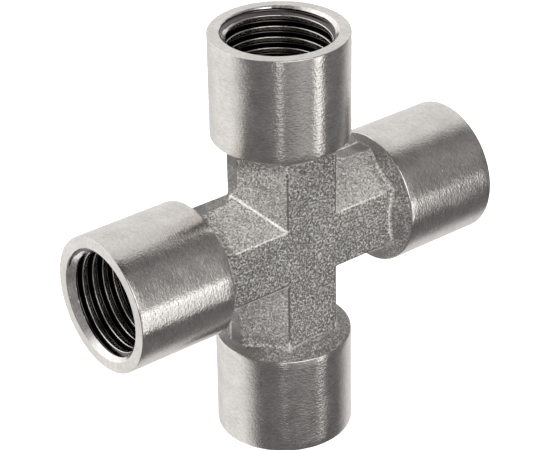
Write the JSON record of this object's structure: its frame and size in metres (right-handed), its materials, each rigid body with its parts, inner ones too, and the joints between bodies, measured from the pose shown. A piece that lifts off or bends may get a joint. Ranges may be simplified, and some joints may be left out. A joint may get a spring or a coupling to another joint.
{
  "type": "cross pipe fitting",
  "caption": "Equal cross pipe fitting with female G 1/4 ports, forged in nickel-plated brass with turned sockets.",
  "frame": {"origin": "where the axes of the four passages cross, at the centre of the fitting", "axes": "+Z along the top port, +X along the right port, Y across the forging's parting plane"},
  "size_m": [0.0508, 0.016, 0.0508],
  "materials": {
    "forged_nickel": "nickel plating over a shot-blasted hot forging: satin grey with a fine sparkling grain",
    "turned_nickel": "nickel plating over turned brass: bright satin with fine turning marks around the axis"
  },
  "bodies": {
    "root": {"forged_body": "forged_nickel", "top_socket": "turned_nickel", "bottom_socket": "turned_nickel", "right_socket": "turned_nickel", "left_socket": "turned_nickel"}
  },
  "joints": []
}
